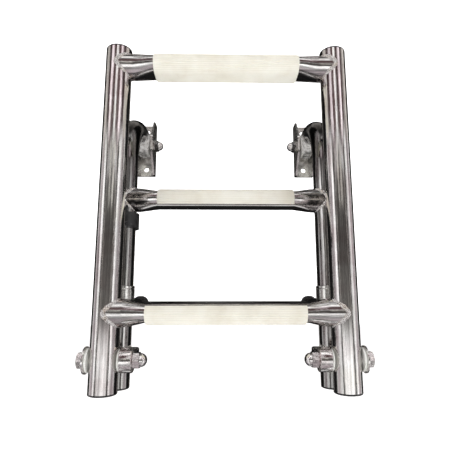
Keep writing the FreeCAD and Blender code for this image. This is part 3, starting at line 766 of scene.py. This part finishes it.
def standoff(side_name):
    """Leg and ringed rubber foot, with the sleeve that carries them."""
    side = SIDES[side_name]
    leg, foot = "standoff_leg_" + side_name, "standoff_foot_" + side_name
    level = middle(foot).z
    sleeve("standoff_sleeve_" + side_name, side, level)
    sleeve_weld(side_name, level)

    low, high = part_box(leg)
    bore = 5.2 * MM
    bm = bmesh.new()
    lathe(bm, [(bore, low.y), (LEG, low.y), (LEG, high.y), (bore, high.y)],
          Vector((side * HALF, 0, level)), Y, 72)
    keep(bm, leg + "_tube", "upper_section", STEEL_Y, [leg])

    edge, groove, crown = 0.8 * MM, 0.6 * MM, 3 * MM
    profile = [(LEG + 0.05 * MM, -FOOT_LENGTH), (FOOT - edge, -FOOT_LENGTH), (FOOT, edge - FOOT_LENGTH)]
    for y in (-12.6, -10.0, -7.4):
        profile += [(FOOT, (y - 0.7) * MM), (FOOT - groove, (y - 0.3) * MM),
                    (FOOT - groove, (y + 0.3) * MM), (FOOT, (y + 0.7) * MM)]
    for i in range(9):
        a = math.pi / 2 * i / 8
        profile.append((FOOT - crown + crown * math.cos(a), -crown + crown * math.sin(a)))
    profile.append((0.0, 0.0))
    bm = bmesh.new()
    lathe(bm, profile, Vector((side * HALF, 0, level)), Y, 72)
    keep(bm, foot + "_ringed", "upper_section", RUBBER, [foot], sharp=35)


def cross_rod():
    low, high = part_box("standoff_cross_rod")
    centre = (low + high) / 2
    bm = bmesh.new()
    lathe(bm, rounded(2.5 * MM, low.x, high.x, 1.2 * MM), Vector((0, centre.y, centre.z)), X, 48)
    keep(bm, "standoff_cross_rod_round", "upper_section", STEEL_ROD_SHADED,
         ["standoff_cross_rod"])


def soften(node, width, material):
    """Keep a CAD node's own shape, with its sharp edges rounded and a new finish."""
    item = frame["nodes"][node]
    item.data.materials.clear()
    item.data.materials.append(material)
    bevel = item.modifiers.new("rounded_edges", "BEVEL")
    bevel.width = width
    bevel.segments = 3
    bevel.limit_method = "ANGLE"
    bevel.angle_limit = math.radians(40)
    bevel.harden_normals = True


for side_name in SIDES:
    straight_rail(side_name)
    hooked_rail(side_name)
    hinge_boss(side_name)
    standoff(side_name)
    soften("bracket_" + side_name, 0.5 * MM, PRESSED)
soften("storage_clip", 0.9 * MM, BLACK)
cross_rod()
end_plugs("upper_rail_plugs", "upper_section", -1)
end_plugs("lower_rail_hinge_plugs", "lower_section", -1)
end_plugs("lower_rail_far_plugs", "lower_section", 1)
for step_name, body, up in (("middle", "upper_section", 1), ("near", "lower_section", -1),
                            ("far", "lower_section", -1)):
    step(step_name, body)
    step_welds(step_name, body)
    tread(step_name, body, up)
bolts("hinge_bolts", "upper_section", HINGE)
bolts("pivot_bolts", "transom_brackets", PIVOT)
dome_nuts("hinge_dome_nuts", "upper_section", HINGE)
dome_nuts("pivot_dome_nuts", "transom_brackets", PIVOT)
washer_pair("hinge_steel_washers", "upper_section", 0.35 * MM, STEEL_SMALL)
washer_pair("hinge_outer_nylon_washers", "upper_section", 0.6 * MM, NYLON)
washer_pair("hinge_inner_nylon_washers", "upper_section", 0.4 * MM, NYLON)


# ---------------------------------------------------------------- studio

def stage_material(name, colour, glow):
    n = surface(name)
    shader = n.shader
    shader.inputs["Base Color"].default_value = (*colour, 1.0)
    shader.inputs["Roughness"].default_value = 0.7
    shader.inputs["Emission Color"].default_value = (*colour, 1.0)
    shader.inputs["Emission Strength"].default_value = glow
    return n.owner


def stage_piece(bm, name, material):
    mesh = bpy.data.meshes.new(name)
    bm.to_mesh(mesh)
    bm.free()
    mesh.materials.append(material)
    item = bpy.data.objects.new(name, mesh)
    bpy.context.scene.collection.objects.link(item)
    return item


def floor_and_backdrop():
    """Floor just below the unfolded ladder, and a white surround that only the camera sees."""
    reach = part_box("lower_rail_right")[1].z - HINGE.z
    bm = bmesh.new()
    bmesh.ops.create_circle(bm, cap_ends=True, segments=96, radius=5.0)
    floor = stage_piece(bm, "floor", stage_material("floor_pale", (0.93, 0.93, 0.925), 0.76))
    floor.location.z = HINGE.z - reach - 3 * MM
    floor.visible_glossy = False
    bm = bmesh.new()
    bmesh.ops.create_uvsphere(bm, u_segments=64, v_segments=32, radius=4.9)
    backdrop = stage_piece(bm, "backdrop", stage_material("backdrop_white", (1.0, 1.0, 1.0), 1.0))
    for ray in ("visible_diffuse", "visible_glossy", "visible_transmission", "visible_shadow"):
        setattr(backdrop, ray, False)


def studio_world():
    """Soft boxes to the front, the sides and overhead, with dark gaps between them."""
    world = bpy.data.worlds.new("studio")
    bpy.context.scene.world = world
    n = Nodes(world)
    background = n.tree.nodes["Background"]
    sky = n.new("ShaderNodeTexCoord").outputs["Generated"]
    x, y, z = n.split(sky)
    ahead = n.maths("MULTIPLY", y, -1.0)
    turn = n.maths("DIVIDE", n.maths("ABSOLUTE", n.maths("ARCTAN2", x, ahead)), math.pi)
    rise = n.maths("ADD", n.maths("DIVIDE", n.maths("ARCSINE", z), math.pi), 0.5)
    roll = n.maths("ADD", n.maths("DIVIDE", n.maths("ARCTAN2", z, ahead), 2 * math.pi), 0.5)

    def at(degrees):
        return degrees / 180

    def up(degrees):
        return degrees / 180 + 0.5

    def around(degrees):
        return degrees / 360 + 0.5

    def grey(value, tint=(1, 1, 1)):
        return tuple(value * part for part in tint)

    mauve, warm, maroon = (1.0, 0.91, 0.95), (1.0, 0.95, 0.90), (1.0, 0.70, 0.72)
    sides = n.ramp(turn, [
        (at(40), grey(0.42, warm)), (at(44), grey(0.05)), (at(52), grey(0.05)), (at(56), grey(0.95)),
        (at(72), grey(0.80)), (at(76), grey(0.30, mauve)), (at(96), grey(0.42, mauve)),
        (at(102), grey(0.60)), (at(107), grey(0.36)), (at(110), grey(0.008)),
        (at(154), grey(0.008)), (at(157), grey(0.22, warm)), (at(162), grey(0.22, warm)),
        (at(165), grey(0.008))])
    high = n.ramp(turn, [
        (at(0), grey(0.90)), (at(6), grey(0.90)), (at(9), grey(0.10, maroon)),
        (at(31), grey(0.10, maroon)), (at(34), grey(0.95, mauve)), (at(49), grey(0.95, mauve)),
        (at(53), grey(0.06, maroon)), (at(73), grey(0.06, maroon)), (at(77), grey(0.42, warm)),
        (at(103), grey(0.55, warm)), (at(107), grey(0.006)), (at(154), grey(0.006)),
        (at(157), grey(0.20, warm)), (at(162), grey(0.20, warm)), (at(165), grey(0.006))])
    ring = n.ramp(roll, [
        (around(-142), grey(0.008)), (around(-124), grey(0.03)), (around(-113), grey(0.50)),
        (around(-103), grey(0.55)), (around(-95), grey(0.06)), (around(-82), grey(0.05)),
        (around(-74), grey(0.30, mauve)), (around(-52), grey(0.36, mauve)), (around(-36), grey(0.26)),
        (around(-26), grey(0.50)), (around(-20), grey(0.92)), (around(-8), grey(0.92)),
        (around(-3), grey(0.11, warm)), (around(12), grey(0.062, warm)), (around(18), grey(0.10, warm)),
        (around(22), grey(0.55)), (around(25), grey(0.08, maroon)), (around(40), grey(0.14, mauve)),
        (around(48), grey(0.06)), (around(56), grey(0.95)), (around(69), grey(1.0)),
        (around(75), grey(0.30)), (around(83), grey(0.04)), (around(94), grey(0.08, warm)),
        (around(112), grey(0.22, warm)), (around(130), grey(0.36, warm)), (around(137), grey(0.30)),
        (around(144), grey(0.008))])
    in_front = n.ramp(turn, [(at(36), (0, 0, 0)), (at(40), (1, 1, 1))])
    aside = n.ramp(n.maths("ABSOLUTE", x), [(0.24, (0, 0, 0)), (0.28, (1, 1, 1))])
    off_ring = n.maths("MULTIPLY", in_front, aside)
    above = n.ramp(rise, [(up(21), (0, 0, 0)), (up(24), (1, 1, 1)), (up(46), (1, 1, 1)),
                          (up(52), (0, 0, 0))])
    window = n.maths("MULTIPLY",
                     n.ramp(turn, [(at(5), (0, 0, 0)), (at(8), (1, 1, 1)), (at(15), (1, 1, 1)),
                                   (at(18), (0, 0, 0))]),
                     n.ramp(rise, [(up(12), (0, 0, 0)), (up(14), (1, 1, 1)), (up(20), (1, 1, 1)),
                                   (up(23), (0, 0, 0))]))
    shelf = n.mix(window, n.mix(above, n.mix(off_ring, ring, sides), high), (0.60, 0.59, 0.55))
    stretch = n.new("ShaderNodeMapping")
    stretch.inputs["Scale"].default_value = (30.0, 30.0, 7.0)
    n.link(sky, stretch.inputs["Vector"])
    clutter = n.noise(stretch.outputs["Vector"], 1.0, 6.0, 0.72)
    room = n.new("ShaderNodeVectorMath", operation="SCALE")
    n.link(shelf, room.inputs[0])
    n.link(n.spread(clutter, 0.40, 2.1, 0.34, 0.66), room.inputs["Scale"])
    n.link(room.outputs[0], background.inputs["Color"])
    background.inputs["Strength"].default_value = 1.15


def soft_light(name, spot, aim, size, watts):
    """Area light that lights surfaces but is not seen in reflections."""
    data = bpy.data.lights.new(name, "AREA")
    data.shape = "RECTANGLE"
    data.size, data.size_y = size
    data.energy = watts
    light = bpy.data.objects.new(name, data)
    light.location = spot
    light.rotation_euler = (Vector(aim) - Vector(spot)).to_track_quat("-Z", "Y").to_euler()
    light.visible_glossy = False
    bpy.context.scene.collection.objects.link(light)


def camera():
    """Camera in front of the ladder, a little below its middle and looking up by ten degrees."""
    data = bpy.data.cameras.new("camera")
    data.sensor_width = 36.0
    data.lens = 30.5217         # together with the sensor, a view 1.18 times as wide as it is far
    data.clip_start = 0.01
    item = bpy.data.objects.new("camera", data)
    item.location = (-0.0033, -0.5185, -0.1984)
    item.rotation_euler = (math.radians(90 + 9.66), math.radians(0.06), math.radians(-1.08))
    bpy.context.scene.collection.objects.link(item)
    bpy.context.scene.camera = item


floor_and_backdrop()
studio_world()
soft_light("light_overhead", (0.0, -0.4, 1.6), (0, -0.1, -0.2), (2.4, 2.0), 13.0)
soft_light("light_front_left", (-1.4, -1.4, 0.5), (0, -0.1, -0.15), (1.2, 1.2), 6.5)
soft_light("light_front_right", (1.4, -1.4, 0.4), (0, -0.1, -0.15), (1.2, 1.2), 6.5)
bpy.context.scene.view_settings.view_transform = "Standard"
camera()
